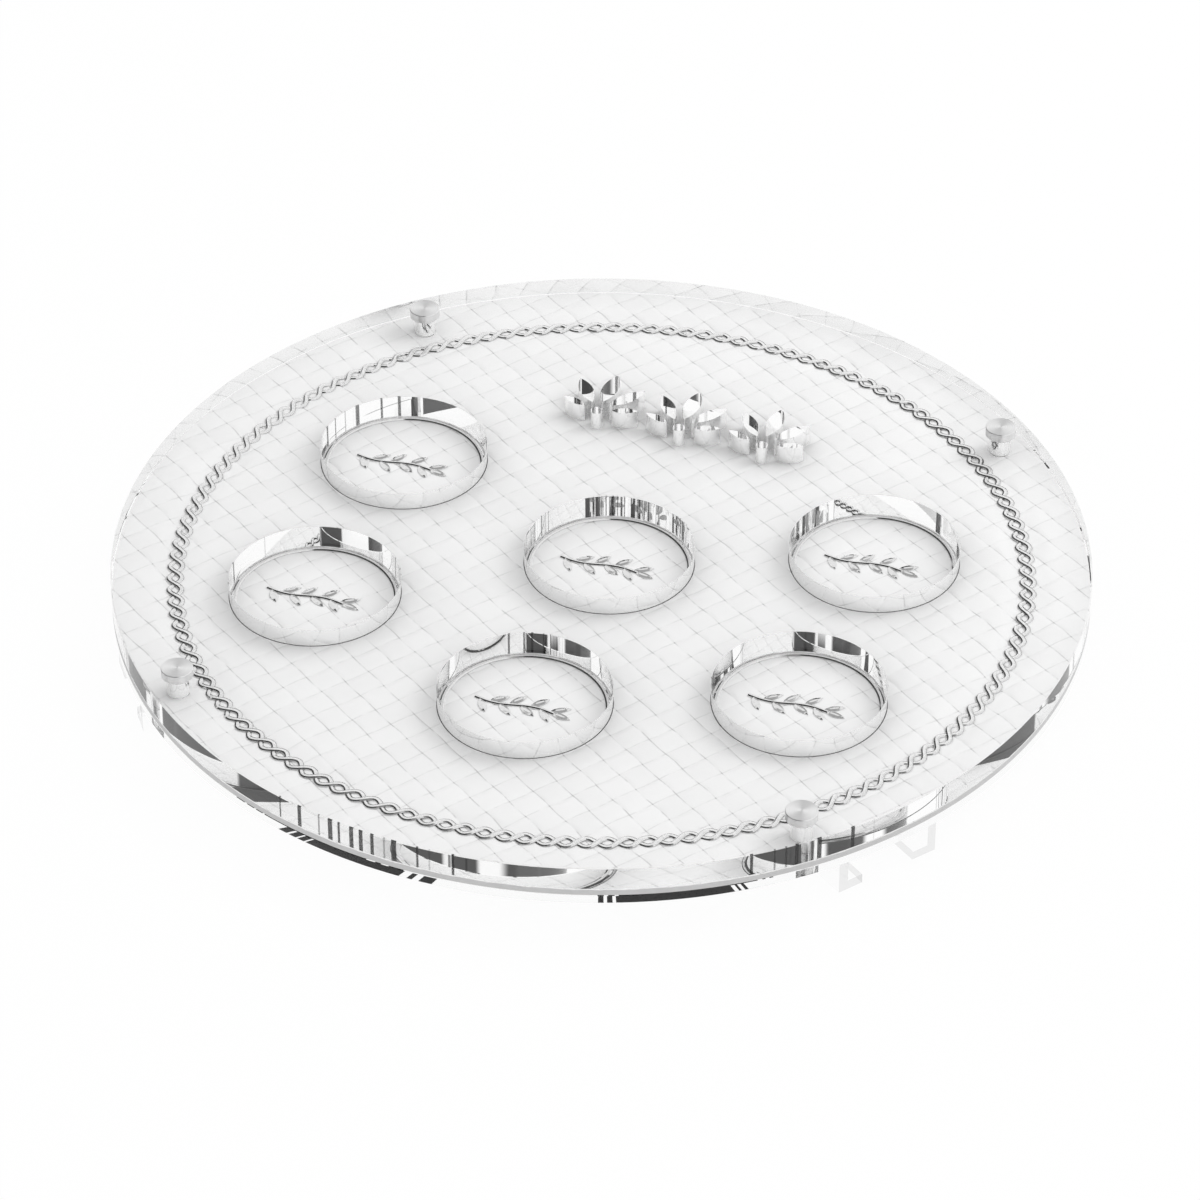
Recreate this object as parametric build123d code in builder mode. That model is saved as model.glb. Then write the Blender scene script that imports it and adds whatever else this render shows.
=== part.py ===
from build123d import *
import os
from math import cos, pi, radians, sin

# Round serving plate. Two clear acrylic discs clamp a woven leatherette panel.
# Six wells and a leaf frieze are cut through the upper disc, hand-turned standoffs
# hold the stack together, and strips bonded under the rim make the feet.
# Millimetres, +Z up, origin at the centre of the surface that the feet stand on.

# Stack of sheets
plate_diameter = 380.0
top_thickness = 10.0
leather_thickness = 1.2
board_thickness = 1.3
base_thickness = 4.0
foot_height = 14.0
edge_bevel = 0.4

# Wells: two side columns and a centre column that sits lower
well_diameter = 66.4
well_row_pitch = 93.5
well_rim_margin = 45.0
side_column_middle_y = -6.45
centre_column_x = 1.7
centre_column_middle_y = -42.45

# Silver trim on the leatherette
rope_inset = 24.5
rope_crossings = 138
rope_width = 7.0
strand_width = 2.2
rope_thickness = 0.8
groove_clearance = 0.2
ring_width = 2.0
ring_wall_gap = 0.8
trim_height = 0.5

# Leaf sprig in each well
sprig_length = 40.0
stem_width = 1.5
stem_sway = 1.2
sprig_leaf_count = 8
sprig_leaf_length = 8.5
sprig_leaf_width = 3.0
sprig_leaf_angle = 44.0

# Leaf frieze cut through the upper disc: fans of pointed leaves over a round hole
fan_count = 3
fan_pitch = 35.0
fan_middle_x = 1.0
fan_root_y = 88.5
fan_root_hole = 5.0
fan_root_gap = 6.0
fan_step_angle = 36.0
fan_leaf_lengths = [20.0, 17.5, 10.5]
fan_leaf_width_ratio = 0.33

# Standoffs
standoff_inset = 12.5
standoff_angle = 45.9
cap_diameter = 12.2
cap_height = 3.5
cap_bevel = 0.3
washer_diameter = 11.0
washer_thickness = 0.5
shank_diameter = 8.0
shank_clearance = 0.25
thread_diameter = 5.0
thread_clearance = 0.05
thread_tail = 1.0
cap_socket_depth = 2.0
nut_across_flats = 8.0
nut_height = 4.0

# Feet: facing L-shaped pairs, each pair square to a line from the centre
foot_angle = 36.0
foot_inset = 2.3
foot_length = 40.0
foot_pair_width = 44.0
foot_lip_width = 10.6
foot_sheet = 4.0

# Levels, from the standing surface up
base_bottom = foot_height
base_top = base_bottom + base_thickness
board_top = base_top + board_thickness
leather_top = board_top + leather_thickness
top_face = leather_top + top_thickness
cap_seat = top_face + washer_thickness

# Everything near the rim is set in from it
plate_radius = plate_diameter / 2
rope_radius = plate_radius - rope_inset
foot_end_radius = plate_radius - foot_inset
standoff_radius = plate_radius - standoff_inset
standoff_x = standoff_radius * cos(radians(standoff_angle))
standoff_y = standoff_radius * sin(radians(standoff_angle))

# The side columns stand where their lower wells keep the margin to the rim
well_radius = well_diameter / 2
lower_well_drop = well_row_pitch / 2 - side_column_middle_y
lower_well_reach = plate_radius - well_rim_margin - well_radius
side_column_x = (lower_well_reach**2 - lower_well_drop**2) ** 0.5

ring_outer = well_radius - ring_wall_gap
shank_hole_radius = shank_diameter / 2 + shank_clearance
thread_radius = thread_diameter / 2
rope_outer = rope_radius + rope_width / 2
rope_inner = rope_radius - rope_width / 2

well_places = [
    ("left_upper", -side_column_x, side_column_middle_y + well_row_pitch / 2),
    ("left_lower", -side_column_x, side_column_middle_y - well_row_pitch / 2),
    ("centre_upper", centre_column_x, centre_column_middle_y + well_row_pitch / 2),
    ("centre_lower", centre_column_x, centre_column_middle_y - well_row_pitch / 2),
    ("right_upper", side_column_x, side_column_middle_y + well_row_pitch / 2),
    ("right_lower", side_column_x, side_column_middle_y - well_row_pitch / 2),
]
corner_signs = {
    "front_left": (-1, -1),
    "front_right": (1, -1),
    "back_left": (-1, 1),
    "back_right": (1, 1),
}
standoff_places = [(sx * standoff_x, sy * standoff_y) for sx, sy in corner_signs.values()]

os.makedirs("parts", exist_ok=True)


def save(piece, name):
    piece.part.label = name
    export_step(piece.part, f"parts/{name}.step")


def make_leaf(length, width):
    # A pointed leaf from the origin along +X, between two equal arcs
    with BuildSketch() as leaf_outline:
        with BuildLine():
            SagittaArc((0, 0), (length, 0), width / 2)
            SagittaArc((length, 0), (0, 0), width / 2)
        make_face()
    return leaf_outline.sketch


def make_disc(name, bottom, thickness):
    # A plain layer of the stack with its four shank holes
    with BuildPart() as disc:
        with BuildSketch(Plane.XY.offset(bottom)):
            Circle(plate_radius)
            with Locations(*standoff_places):
                Circle(shank_hole_radius, mode=Mode.SUBTRACT)
        extrude(amount=thickness)
    save(disc, name)


# Lower disc and the board that carries the leatherette
make_disc("base_plate", base_bottom, base_thickness)
make_disc("backing_board", base_top, board_thickness)

# Leatherette with the groove that takes the rope border
with BuildPart() as leather_panel:
    with BuildSketch(Plane.XY.offset(board_top)):
        Circle(plate_radius)
        with Locations(*standoff_places):
            Circle(shank_hole_radius, mode=Mode.SUBTRACT)
    extrude(amount=leather_thickness)
    with BuildSketch(Plane.XY.offset(leather_top)):
        Circle(rope_outer + groove_clearance)
        Circle(rope_inner - groove_clearance, mode=Mode.SUBTRACT)
    extrude(amount=-rope_thickness, mode=Mode.SUBTRACT)
save(leather_panel, "leather_panel")

# Rope border: two crossing strands, so scalloped edges and a pointed eye between crossings
rope_step = 2 * pi / rope_crossings
rope_pitch = rope_radius * rope_step
strand_sway = (rope_width - strand_width) / 2
crossing_half_height = strand_width / 2 * (1 + (strand_sway * pi / rope_pitch) ** 2) ** 0.5
eye_half_height = strand_sway - strand_width / 2
eye_length = rope_pitch - 2 * crossing_half_height


def rope_point(radius, step):
    return (radius * cos(step * rope_step), radius * sin(step * rope_step))


def scalloped_disc(crest_radius, crossing_radius):
    with BuildSketch() as disc_outline:
        with BuildLine():
            for crossing in range(rope_crossings):
                ThreePointArc(
                    rope_point(crossing_radius, crossing),
                    rope_point(crest_radius, crossing + 0.5),
                    rope_point(crossing_radius, crossing + 1),
                )
        make_face()
    return disc_outline.sketch


rope_outside = scalloped_disc(rope_outer, rope_radius + crossing_half_height)
rope_inside = scalloped_disc(rope_inner, rope_radius - crossing_half_height)
rope_eye = make_leaf(eye_length, 2 * eye_half_height)

with BuildPart() as rope_border:
    with BuildSketch(Plane.XY.offset(leather_top - rope_thickness)):
        add(rope_outside)
        add(rope_inside, mode=Mode.SUBTRACT)
        with PolarLocations(rope_radius, rope_crossings, start_angle=180 / rope_crossings):
            with Locations(Location((0, -eye_length / 2, 0), (0, 0, 90))):
                add(rope_eye, mode=Mode.SUBTRACT)
    extrude(amount=rope_thickness)
save(rope_border, "rope_border")

# Silver ring and leaf sprig on the floor of each well
sprig_leaf = make_leaf(sprig_leaf_length, sprig_leaf_width)
stem_start = -sprig_length / 2
stem_end = sprig_length / 2 - sprig_leaf_length
stem_middle = (stem_start + stem_end) / 2
with BuildLine() as stem_path:
    SagittaArc((stem_start, 0), (stem_middle, 0), stem_sway)
    SagittaArc((stem_middle, 0), (stem_end, 0), -stem_sway)
stem = stem_path.wire()
# Leaves alternate along the stem, and the last one carries on from its end
sprig_leaf_places = []
for leaf in range(sprig_leaf_count):
    share = (leaf + 0.5) / sprig_leaf_count
    side = 1 if leaf % 2 else -1
    sprig_leaf_places.append((share, side))
sprig_leaf_places.append((1 - 2 * stem_width / stem.length, 0))
for place, well_x, well_y in well_places:
    with BuildPart() as well_ring:
        with BuildSketch(Plane((well_x, well_y, leather_top))):
            Circle(ring_outer)
            Circle(ring_outer - ring_width, mode=Mode.SUBTRACT)
        extrude(amount=trim_height)
    save(well_ring, f"well_ring_{place}")

    with BuildPart() as well_sprig:
        with BuildSketch(Plane((well_x, well_y, leather_top))):
            trace(stem, line_width=stem_width)
            for share, side in sprig_leaf_places:
                leaf_turn = stem.tangent_angle_at(share) + side * sprig_leaf_angle
                with Locations(Location(stem @ share, (0, 0, leaf_turn))):
                    add(sprig_leaf)
        extrude(amount=trim_height)
    save(well_sprig, f"well_sprig_{place}")

# Upper disc
fan_leaves = [make_leaf(length, length * fan_leaf_width_ratio) for length in fan_leaf_lengths]

with BuildPart() as top_plate:
    with BuildSketch(Plane.XY.offset(leather_top)):
        Circle(plate_radius)
    extrude(amount=top_thickness)
    chamfer(top_plate.edges().filter_by(GeomType.CIRCLE), edge_bevel)
    with BuildSketch(Plane.XY.offset(leather_top)):
        with Locations(*[(x, y) for _, x, y in well_places]):
            Circle(well_radius)
        with Locations(*standoff_places):
            Circle(shank_hole_radius)
        for fan in range(fan_count):
            fan_x = fan_middle_x + (fan - (fan_count - 1) / 2) * fan_pitch
            with Locations((fan_x, fan_root_y)):
                Circle(fan_root_hole / 2)
            for step, fan_leaf in enumerate(fan_leaves):
                for turn in sorted({-step, step}):
                    leaf_angle = 90 + turn * fan_step_angle
                    leaf_x = fan_x + fan_root_gap * cos(radians(leaf_angle))
                    leaf_y = fan_root_y + fan_root_gap * sin(radians(leaf_angle))
                    with Locations(Location((leaf_x, leaf_y, 0), (0, 0, leaf_angle))):
                        add(fan_leaf)
    extrude(amount=top_thickness, mode=Mode.SUBTRACT)
save(top_plate, "top_plate")

# Standoffs: a cap fixed on a stud, a washer under it and a nut under the base
for corner, (sign_x, sign_y) in corner_signs.items():
    seat_x = sign_x * standoff_x
    seat_y = sign_y * standoff_y

    with BuildPart() as standoff_cap:
        with BuildSketch(Plane((seat_x, seat_y, cap_seat))):
            Circle(cap_diameter / 2)
        extrude(amount=cap_height)
        chamfer(standoff_cap.faces().sort_by(Axis.Z)[-1].edges(), cap_bevel)
        with BuildSketch(Plane((seat_x, seat_y, cap_seat))):
            Circle(thread_radius + thread_clearance)
        extrude(amount=cap_socket_depth, mode=Mode.SUBTRACT)
    save(standoff_cap, f"standoff_cap_{corner}")

    with BuildPart() as standoff_stud:
        with BuildSketch(Plane((seat_x, seat_y, base_bottom))):
            Circle(shank_diameter / 2)
        extrude(amount=cap_seat - base_bottom)
        with BuildSketch(Plane((seat_x, seat_y, cap_seat))):
            Circle(thread_radius)
        extrude(amount=cap_socket_depth)
        with BuildSketch(Plane((seat_x, seat_y, base_bottom))):
            Circle(thread_radius)
        extrude(amount=-(nut_height + thread_tail))
    save(standoff_stud, f"standoff_stud_{corner}")

    with BuildPart() as standoff_washer:
        with BuildSketch(Plane((seat_x, seat_y, top_face))):
            Circle(washer_diameter / 2)
            Circle(shank_hole_radius, mode=Mode.SUBTRACT)
        extrude(amount=washer_thickness)
    save(standoff_washer, f"standoff_washer_{corner}")

    with BuildPart() as standoff_nut:
        with BuildSketch(Plane((seat_x, seat_y, base_bottom))):
            RegularPolygon(nut_across_flats / 2, 6, major_radius=False)
            Circle(thread_radius + thread_clearance, mode=Mode.SUBTRACT)
        extrude(amount=-nut_height)
    save(standoff_nut, f"standoff_nut_{corner}")

# Feet: a wall bonded to the lower disc and a lip bonded under it, facing its partner
for corner, (sign_x, sign_y) in corner_signs.items():
    out_x = sign_x * cos(radians(foot_angle))
    out_y = sign_y * sin(radians(foot_angle))
    foot_middle = foot_end_radius - foot_length / 2
    for side_name, side in (("a", -1), ("b", 1)):
        foot_plane = Plane((0, 0, 0), x_dir=(out_x, out_y, 0), z_dir=(0, 0, 1))

        with BuildPart() as foot_lip:
            with BuildSketch(foot_plane):
                with Locations((foot_middle, side * (foot_pair_width - foot_lip_width) / 2)):
                    Rectangle(foot_length, foot_lip_width)
            extrude(amount=foot_sheet)
        save(foot_lip, f"foot_lip_{corner}_{side_name}")

        with BuildPart() as foot_wall:
            with BuildSketch(foot_plane.offset(foot_sheet)):
                with Locations((foot_middle, side * (foot_pair_width - foot_sheet) / 2)):
                    Rectangle(foot_length, foot_sheet)
            extrude(amount=foot_height - foot_sheet)
        save(foot_wall, f"foot_wall_{corner}_{side_name}")
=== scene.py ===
from math import atan2, cos, hypot, pi, radians, sin, tau

import bmesh
import bpy
import numpy as np
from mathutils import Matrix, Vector
from mathutils.geometry import delaunay_2d_cdt


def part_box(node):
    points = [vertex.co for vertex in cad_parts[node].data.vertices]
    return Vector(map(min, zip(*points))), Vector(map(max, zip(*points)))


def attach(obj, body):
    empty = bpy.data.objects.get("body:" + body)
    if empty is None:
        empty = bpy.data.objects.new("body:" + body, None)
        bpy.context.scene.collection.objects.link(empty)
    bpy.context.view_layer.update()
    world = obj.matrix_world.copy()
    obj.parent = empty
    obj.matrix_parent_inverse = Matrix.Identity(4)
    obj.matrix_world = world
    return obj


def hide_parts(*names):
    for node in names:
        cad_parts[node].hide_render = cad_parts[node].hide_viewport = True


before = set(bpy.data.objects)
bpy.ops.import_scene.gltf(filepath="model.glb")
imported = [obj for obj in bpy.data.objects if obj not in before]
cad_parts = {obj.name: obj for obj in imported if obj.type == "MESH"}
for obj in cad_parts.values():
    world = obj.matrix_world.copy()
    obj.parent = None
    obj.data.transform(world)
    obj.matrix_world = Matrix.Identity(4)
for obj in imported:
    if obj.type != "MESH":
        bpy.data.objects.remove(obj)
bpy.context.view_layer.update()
scene = bpy.context.scene
mm = 0.001
print("frame loaded:", len(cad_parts), "nodes")

wells = ("left_upper", "left_lower", "centre_upper", "centre_lower", "right_upper", "right_lower")
corners = ("front_left", "front_right", "back_left", "back_right")


def middleOf(node):
    low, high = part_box(node)
    return (low + high) / 2


# Levels and places that pieces share, from the frame
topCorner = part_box("top_plate")[1]
plateRadius, topFace = topCorner.x, topCorner.z
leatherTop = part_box("leather_panel")[1].z
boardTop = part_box("backing_board")[1].z
baseBottom, baseTop = [corner.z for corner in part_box("base_plate")]
wellCentres = [middleOf(f"well_ring_{well}") for well in wells]
ringLow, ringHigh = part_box("well_ring_left_upper")
ringOuter, trimTop = (ringHigh.x - ringLow.x) / 2, ringHigh.z
capCentres = {corner: middleOf(f"standoff_cap_{corner}") for corner in corners}
ropeRadius = plateRadius - 24.5 * mm
shankHole = 4.25 * mm              # radius of the holes for the standoffs


# Small helpers for meshes
def addObject(name, mesh):
    made = bpy.data.objects.new(name, mesh)
    scene.collection.objects.link(made)
    return made


def meshFrom(name, bm, *materials):
    mesh = bpy.data.meshes.new(name)
    bm.to_mesh(mesh)
    bm.free()
    for material in materials:
        mesh.materials.append(material)
    return addObject(name, mesh)


def circlePoints(centre, radius, count):
    turns = [tau * step / count for step in range(count)]
    return [(centre[0] + radius * cos(turn), centre[1] + radius * sin(turn)) for turn in turns]


def polarRow(bm, centre, spots):
    # a ring of vertices, from the (radius, level) of each step round the centre
    turns = [tau * step / len(spots) for step in range(len(spots))]
    return [bm.verts.new((centre.x + radius * cos(turn), centre.y + radius * sin(turn), level))
            for turn, (radius, level) in zip(turns, spots)]


def rowEdges(bm, row):
    return [bm.edges.get(pair) for pair in zip(row, row[1:] + row[:1])]


def skin(bm, rows, around=True):
    # four-sided faces from each row of vertices to the next
    faces = []
    for low, high in zip(rows, rows[1:]):
        count = len(low)
        for step in range(count if around else count - 1):
            after = (step + 1) % count
            faces.append(bm.faces.new((low[step], low[after], high[after], high[step])))
    return faces


def settle(piece, body, slotName, *nodes):
    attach(piece, body)
    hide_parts(*nodes)
    print(piece.name, "done:", len(piece.data.polygons), "faces")


# An output in a node tree, geometry and shader alike: sums written with it become math nodes
class NodeValue:
    def __init__(self, socket):
        self.socket = socket

    def __add__(self, other):
        return calc("ADD", self, other)

    def __sub__(self, other):
        return calc("SUBTRACT", self, other)

    def __rsub__(self, other):
        return calc("SUBTRACT", other, self)

    def __mul__(self, other):
        return calc("MULTIPLY", self, other)

    def __truediv__(self, other):
        return calc("DIVIDE", self, other)

    __radd__ = __add__


def treeOf(*values):
    return next(value.socket.id_data for value in values if isinstance(value, NodeValue))


def setInputs(node, sockets):
    for key, value in sockets.items():
        if isinstance(value, NodeValue):
            node.id_data.links.new(value.socket, node.inputs[key])
        else:
            node.inputs[key].default_value = value


def addNode(tree, kind, sockets=None, **settings):
    made = tree.nodes.new(kind)
    for key, value in settings.items():
        setattr(made, key, value)
    setInputs(made, sockets or {})
    return made


def outputsOf(tree, kind, sockets=None, **settings):
    made = addNode(tree, kind, sockets, **settings)
    return {socket.name: NodeValue(socket) for socket in made.outputs}


def make(tree, kind, sockets=None, **settings):
    # a new node's first output
    return NodeValue(addNode(tree, kind, sockets, **settings).outputs[0])


def calc(operation, *values):
    return make(treeOf(*values), "ShaderNodeMath", dict(enumerate(values)), operation=operation)


def ramp(value, low, high, start=0.0, end=1.0):
    return make(treeOf(value), "ShaderNodeMapRange", {0: value, 1: low, 2: high, 3: start, 4: end},
                interpolation_type="SMOOTHSTEP")


def splitXYZ(vector):
    return list(outputsOf(treeOf(vector), "ShaderNodeSeparateXYZ", {0: vector}).values())


def joinXYZ(x, y, z):
    return make(treeOf(x, y, z), "ShaderNodeCombineXYZ", {0: x, 1: y, 2: z})


def mixColour(share, first, second, blend="MIX"):
    made = addNode(treeOf(share, first, second), "ShaderNodeMix", {0: share, 6: first, 7: second},
                   data_type="RGBA", blend_type=blend)
    return NodeValue(made.outputs[2])


def mixShader(share, first, second):
    return make(treeOf(share), "ShaderNodeMixShader", {0: share, 1: first, 2: second})


def grey(level):
    return (level, level, level, 1.0)


noiseSpan = (0.3, 0.7)             # where most of a noise texture's values lie


# Shader group: fine grain for any surface, as a tone and a bump normal
def buildGrainGroup():
    group = bpy.data.node_groups.new("surfaceGrain", "ShaderNodeTree")
    sockets = (("INPUT", "Vector", "Vector"), ("INPUT", "Scale", "Float"), ("INPUT", "Depth", "Float"),
               ("INPUT", "Distance", "Float"), ("OUTPUT", "Tone", "Float"), ("OUTPUT", "Normal", "Vector"))
    for way, label, kind in sockets:
        group.interface.new_socket(label, in_out=way, socket_type="NodeSocket" + kind)
    start = outputsOf(group, "NodeGroupInput")
    fine = make(group, "ShaderNodeTexNoise", {
        "Vector": start["Vector"], "Scale": start["Scale"], "Detail": 4.0})
    bump = make(group, "ShaderNodeBump", {
        "Strength": start["Depth"], "Distance": start["Distance"], "Height": fine})
    addNode(group, "NodeGroupOutput", {"Tone": fine, "Normal": bump})
    return group


grainGroup = buildGrainGroup()


def addGrain(place, scale, depth, distance):
    values = {"Vector": place, "Scale": scale, "Depth": depth, "Distance": distance}
    return outputsOf(treeOf(place), "ShaderNodeGroup", values, node_tree=grainGroup)


def newMaterial(name):
    material = bpy.data.materials.new(name)
    material.use_nodes = True
    tree = material.node_tree
    tree.nodes.clear()
    shader = addNode(tree, "ShaderNodeBsdfPrincipled")
    addNode(tree, "ShaderNodeOutputMaterial", {0: NodeValue(shader.outputs[0])})
    place = outputsOf(tree, "ShaderNodeTexCoord")["Object"]
    return material, tree, shader, place


def showInstead(tree, surface):
    setInputs(tree.nodes["Material Output"], {0: surface})


# Clear acrylic: polished faces and sawn, flame-polished walls
acrylic = {
    "tint": grey(0.99),
    "sawnTint": grey(0.76),
    "sawnRoughness": 0.25,
    "index": {"face": 1.12, "wall": 1.49, "strip": 1.04},
    "shade": {"face": grey(0.99), "rim": grey(0.88), "well": grey(0.36)},     # of light on what lies below
    "deepest": 3.5,                # mirrorings inside a sheet before light is let out
    "deepShade": grey(0.07),
    # painted reflections, upright dark bars in a wall's tint: sums of waves (turns round the plate, lag,
    # strength), dark where they fall below a level
    "rimReflectionBars": {
        "shade": grey(0.01),
        "level": -2.1,
        "waves": ((1.0, 1.31, 0.5), (7.0, 0.6, 1.2), (97.0, 1.2, 0.45), (151.0, 4.4, 0.45),
                  (263.0, 5.1, 0.8)),
        "fade": (-125.0 * mm, -100.0 * mm),    # the rim has them at the front only
        "fadeLift": 2.0,
    },
    "wellReflectionBars": {
        "shade": grey(0.05),
        "level": -1.72,
        "waves": ((7.0, 0.35, 1.1), (97.0, 1.9, 0.6), (151.0, 0.7, 0.6), (263.0, 0.0, 0.55)),
    },
    "barSoft": 0.15,
    "patches": ((radians(-137.5), radians(2.3)), (radians(84.0), radians(2.8))),       # bearing, half width
    "patchSoft": 1.1,              # where a patch has faded out, in half widths
}


def paintedReflectionBars(place, bars):
    # painted reflection: upright dark bars in the wall's tint, standing in for light mirrored many times in
    # the sheet
    x, y, _ = splitXYZ(place)
    bearing = calc("ARCTAN2", x, y)
    height = sum(calc("SINE", bearing * turns + lag) * strength for turns, lag, strength in bars["waves"])
    if "fade" in bars:
        height += ramp(y, *bars["fade"], 0.0, bars["fadeLift"])
    level, soft = bars["level"], acrylic["barSoft"]
    return mixColour(ramp(height, level - soft, level + soft, 1.0, 0.0), acrylic["tint"], bars["shade"])


def paintedReflectionPatches(place):
    # painted reflection: dark patches at set bearings, tinted into the light let out after many mirrorings
    x, y, _ = splitXYZ(place)
    bearing = calc("ARCTAN2", x, y)
    dark = sum(ramp(calc("ABSOLUTE", bearing - middle), half, half * acrylic["patchSoft"], 1.0, 0.0)
               for middle, half in acrylic["patches"])
    return mixColour(dark, acrylic["tint"], acrylic["deepShade"])


def acrylicMaterial(name, index, shade, tint=acrylic["tint"], roughness=0.0, bars=None, patched=False):
    material, tree, shader, place = newMaterial(name)
    setInputs(shader, {
        "Base Color": paintedReflectionBars(place, acrylic[bars]) if bars else tint, "Roughness": roughness,
        "Transmission Weight": 1.0, "IOR": acrylic["index"][index]})
    # shadows and bounced light pass straight through, so what lies under the sheet stays evenly lit
    rays = outputsOf(tree, "ShaderNodeLightPath")
    through = calc("MAXIMUM", rays["Is Shadow Ray"], rays["Is Diffuse Ray"])
    veil = make(tree, "ShaderNodeBsdfTransparent", {0: acrylic["shade"][shade]})
    depths = paintedReflectionPatches(place) if patched else acrylic["tint"]
    clear = make(tree, "ShaderNodeBsdfTransparent", {0: depths})
    deep = calc("GREATER_THAN", rays["Glossy Depth"], acrylic["deepest"])
    inside = mixShader(deep, NodeValue(shader.outputs[0]), clear)
    showInstead(tree, mixShader(through, inside, veil))
    return material


# patched sheets get painted reflection patches in the light let out after many mirrorings
acrylicFace = acrylicMaterial("acrylicFace", "face", "face", patched=True)
# painted reflections: the rim and well walls get dark upright bars in their tint
acrylicRim = acrylicMaterial("acrylicRim", "wall", "rim", bars="rimReflectionBars", patched=True)
acrylicWell = acrylicMaterial("acrylicWell", "wall", "well", bars="wellReflectionBars", patched=True)
acrylicBase = acrylicMaterial("acrylicBase", "face", "face")
acrylicBaseWall = acrylicMaterial("acrylicBaseWall", "wall", "rim")
acrylicStrip = acrylicMaterial("acrylicStrip", "strip", "face")
acrylicSawn = acrylicMaterial("acrylicSawn", "strip", "face", acrylic["sawnTint"], acrylic["sawnRoughness"])

# Plain surfaces. Grains have a scale, depth and distance, and the span of tones that they give
fineGrain = {"grain": (900.0, 0.03, 0.05 * mm), "tones": (0.94, 1.04)}
boardGrain = {"grain": (260.0, 0.15, 0.1 * mm), "tones": (0.97, 1.02)}
shadowLineGrain = {"grain": (600.0, 0.1, 0.05 * mm), "tones": (0.8, 1.2)}
surfaces = {
    # painted shadow: a dark line round the foot of each well's wall, where it meets the leather
    "paintedContactShadow": {"colour": grey(0.10), "roughness": 0.3, "metallic": 0.0, **shadowLineGrain},
    "silverTrim": {"colour": grey(0.92), "roughness": 0.40, "metallic": 0.4, **fineGrain},
    "silverEdge": {"colour": grey(0.76), "roughness": 0.07, "metallic": 1.0, **fineGrain},
    "whiteBoard": {"colour": grey(0.80), "roughness": 0.6, "metallic": 0.0, **boardGrain},
    # painted shade: the upright edges of the leather and board are made mid grey
    "paintedShadeEdge": {"colour": grey(0.60), "roughness": 0.6, "metallic": 0.0, **boardGrain},
}


def plainMaterial(name, look):
    material, _, shader, place = newMaterial(name)
    grain = addGrain(place, *look["grain"])
    tone = ramp(grain["Tone"], *noiseSpan, *look["tones"])
    setInputs(shader, {
        "Base Color": mixColour(1.0, look["colour"], tone, "MULTIPLY"), "Normal": grain["Normal"],
        "Metallic": look["metallic"], "Roughness": look["roughness"]})
    return material


paintedContactShadow, silverTrim, silverEdge, whiteBoard, paintedShadeEdge = [plainMaterial(*item) for item in surfaces.items()]
silverFinish = {"Finish": silverTrim, "Edge Finish": silverEdge}

# Turned metal: rings left by the lathe, seen as a streak that turns with the cap
turned = {
    "colour": grey(0.88),
    "tones": (0.93, 1.03),
    "roughness": 0.30,
    "anisotropy": 0.9,
    "shineTurn": 0.25,             # shine spreads across the lathe's rings
    "ringsPerMetre": 2600.0,
    "ringBump": 0.06,
    "ringDepth": 0.03 * mm,
}


def turnedMaterial():
    material, tree, shader, _ = newMaterial("turnedMetal")
    along = splitXYZ(make(tree, "ShaderNodeUVMap", uv_map="turning"))[1]
    rings = make(tree, "ShaderNodeTexNoise", {
        "W": along * turned["ringsPerMetre"], "Scale": 1.0, "Detail": 2.0}, noise_dimensions="1D")
    bump = make(tree, "ShaderNodeBump", {
        "Strength": turned["ringBump"], "Distance": turned["ringDepth"], "Height": rings})
    tone = ramp(rings, *noiseSpan, *turned["tones"])
    tangent = make(tree, "ShaderNodeTangent", direction_type="UV_MAP", uv_map="turning")
    setInputs(shader, {
        "Base Color": mixColour(1.0, turned["colour"], tone, "MULTIPLY"), "Normal": bump, "Tangent": tangent,
        "Metallic": 1.0, "Roughness": turned["roughness"], "Anisotropic": turned["anisotropy"],
        "Anisotropic Rotation": turned["shineTurn"]})
    return material


turnedMetal = turnedMaterial()

# Translucent washers
washer = {"colour": grey(0.9), "roughness": 0.35, "index": 1.2, "clearness": 0.7,
          "grain": (500.0, 0.1, 0.1 * mm)}


def washerMaterial():
    material, _, shader, place = newMaterial("clearWasher")
    setInputs(shader, {
        "Base Color": washer["colour"], "Roughness": washer["roughness"], "IOR": washer["index"],
        "Transmission Weight": washer["clearness"], "Normal": addGrain(place, *washer["grain"])["Normal"]})
    return material


clearWasher = washerMaterial()

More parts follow.
